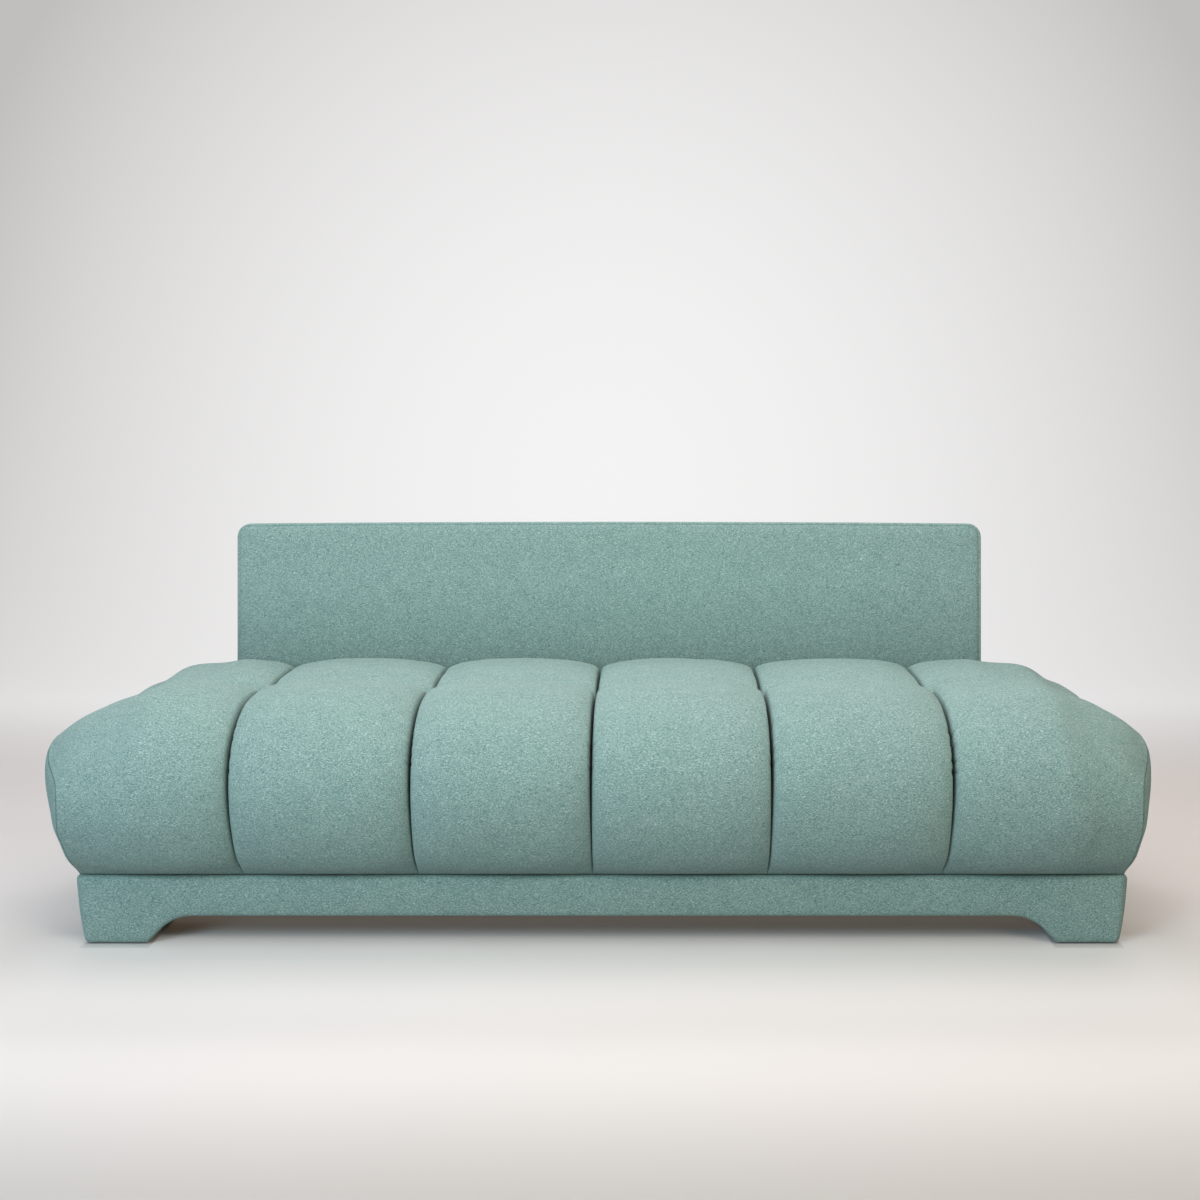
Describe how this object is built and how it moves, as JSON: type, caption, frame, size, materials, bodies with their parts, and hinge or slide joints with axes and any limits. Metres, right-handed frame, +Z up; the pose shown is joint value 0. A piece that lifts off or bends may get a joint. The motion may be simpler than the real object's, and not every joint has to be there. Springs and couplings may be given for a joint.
{
  "type": "sofa bed",
  "caption": "Armless sofa bed: plump channelled seat on a low upholstered plinth with bracket feet, and a slab back that folds down flat behind it on ratchet hinges.",
  "frame": {"origin": "on the floor, under the middle of the box that the whole sofa fills with its back up", "axes": "+X along the sofa to the right seen from the front, +Y to the back, +Z up"},
  "size_m": [2.07, 0.925, 0.7686],
  "materials": {
    "seat_fabric": "heathered wool felt, pale teal",
    "plinth_fabric": "the same felt over thin padding",
    "back_fabric": "the same felt, sewn as a boxed cover",
    "rear_fabric": "the same felt, stapled on hardboard",
    "dust_cloth": "black spun-bonded cloth",
    "foam": "cream upholstery foam",
    "webbing": "woven elastic webbing",
    "pine": "planed softwood, no finish",
    "hardboard": "smooth brown hardboard",
    "zinc_steel": "zinc plated",
    "bright_steel": "plain bright steel",
    "black_steel": "satin black powder coat",
    "black_plastic": "black nylon"
  },
  "bodies": {
    "base": {"floor_glide_front_left": "black_plastic", "floor_glide_front_right": "black_plastic", "floor_glide_rear_left": "black_plastic", "floor_glide_rear_right": "black_plastic", "frame_bolts": "bright_steel", "hinge_flange_screws": "bright_steel", "hinge_pawl_box_left": "zinc_steel", "hinge_pawl_box_right": "zinc_steel", "hinge_plate_left": "zinc_steel", "hinge_plate_right": "zinc_steel", "plinth_corner_blocks": "pine", "plinth_cover": "plinth_fabric", "plinth_cross_rails": "pine", "plinth_dust_cover": "dust_cloth", "plinth_front_rail": "pine", "plinth_rear_rail": "pine", "plinth_side_rail_left": "pine", "plinth_side_rail_right": "pine", "seat_batten": "pine", "seat_channel_1": "seat_fabric", "seat_channel_2": "seat_fabric", "seat_channel_3": "seat_fabric", "seat_channel_4": "seat_fabric", "seat_channel_5": "seat_fabric", "seat_channel_6": "seat_fabric", "seat_cross_rails": "pine", "seat_foam_core": "foam", "seat_front_rail": "pine", "seat_rear_cover": "rear_fabric", "seat_rear_rail": "pine", "seat_side_rail_left": "pine", "seat_side_rail_right": "pine", "seat_straps_across": "webbing", "seat_straps_along": "webbing"},
    "back": {"back_bottom_rail": "pine", "back_cover": "back_fabric", "back_end_post_left": "pine", "back_end_post_right": "pine", "back_foam": "foam", "back_middle_posts": "pine", "back_panel": "hardboard", "back_straps": "webbing", "back_top_rail": "pine", "back_wadding": "foam", "hinge_arm_left": "zinc_steel", "hinge_arm_right": "zinc_steel", "hinge_arm_screws": "bright_steel", "hinge_pins": "bright_steel", "hinge_ratchet_left": "zinc_steel", "hinge_ratchet_right": "zinc_steel", "leg_bracket_screws": "bright_steel", "leg_brackets": "black_steel", "leg_pins": "bright_steel"},
    "leg": {"leg_frame": "black_steel", "leg_pads": "black_plastic"}
  },
  "joints": [
    {"name": "back_fold", "type": "hinge", "parent": "base", "child": "back", "pos_m": [0, 0.3181, 0.426], "axis": [-1, 0, 0], "range_deg": [0, 84]},
    {"name": "leg_swing", "type": "hinge", "parent": "back", "child": "leg", "pos_m": [0, 0.4485, 0.67172], "axis": [1, 0, 0], "range_deg": [0, 84]}
  ],
  "couplings": [
    {"joint": "leg_swing", "follows": "back_fold", "ratio": 1}
  ]
}
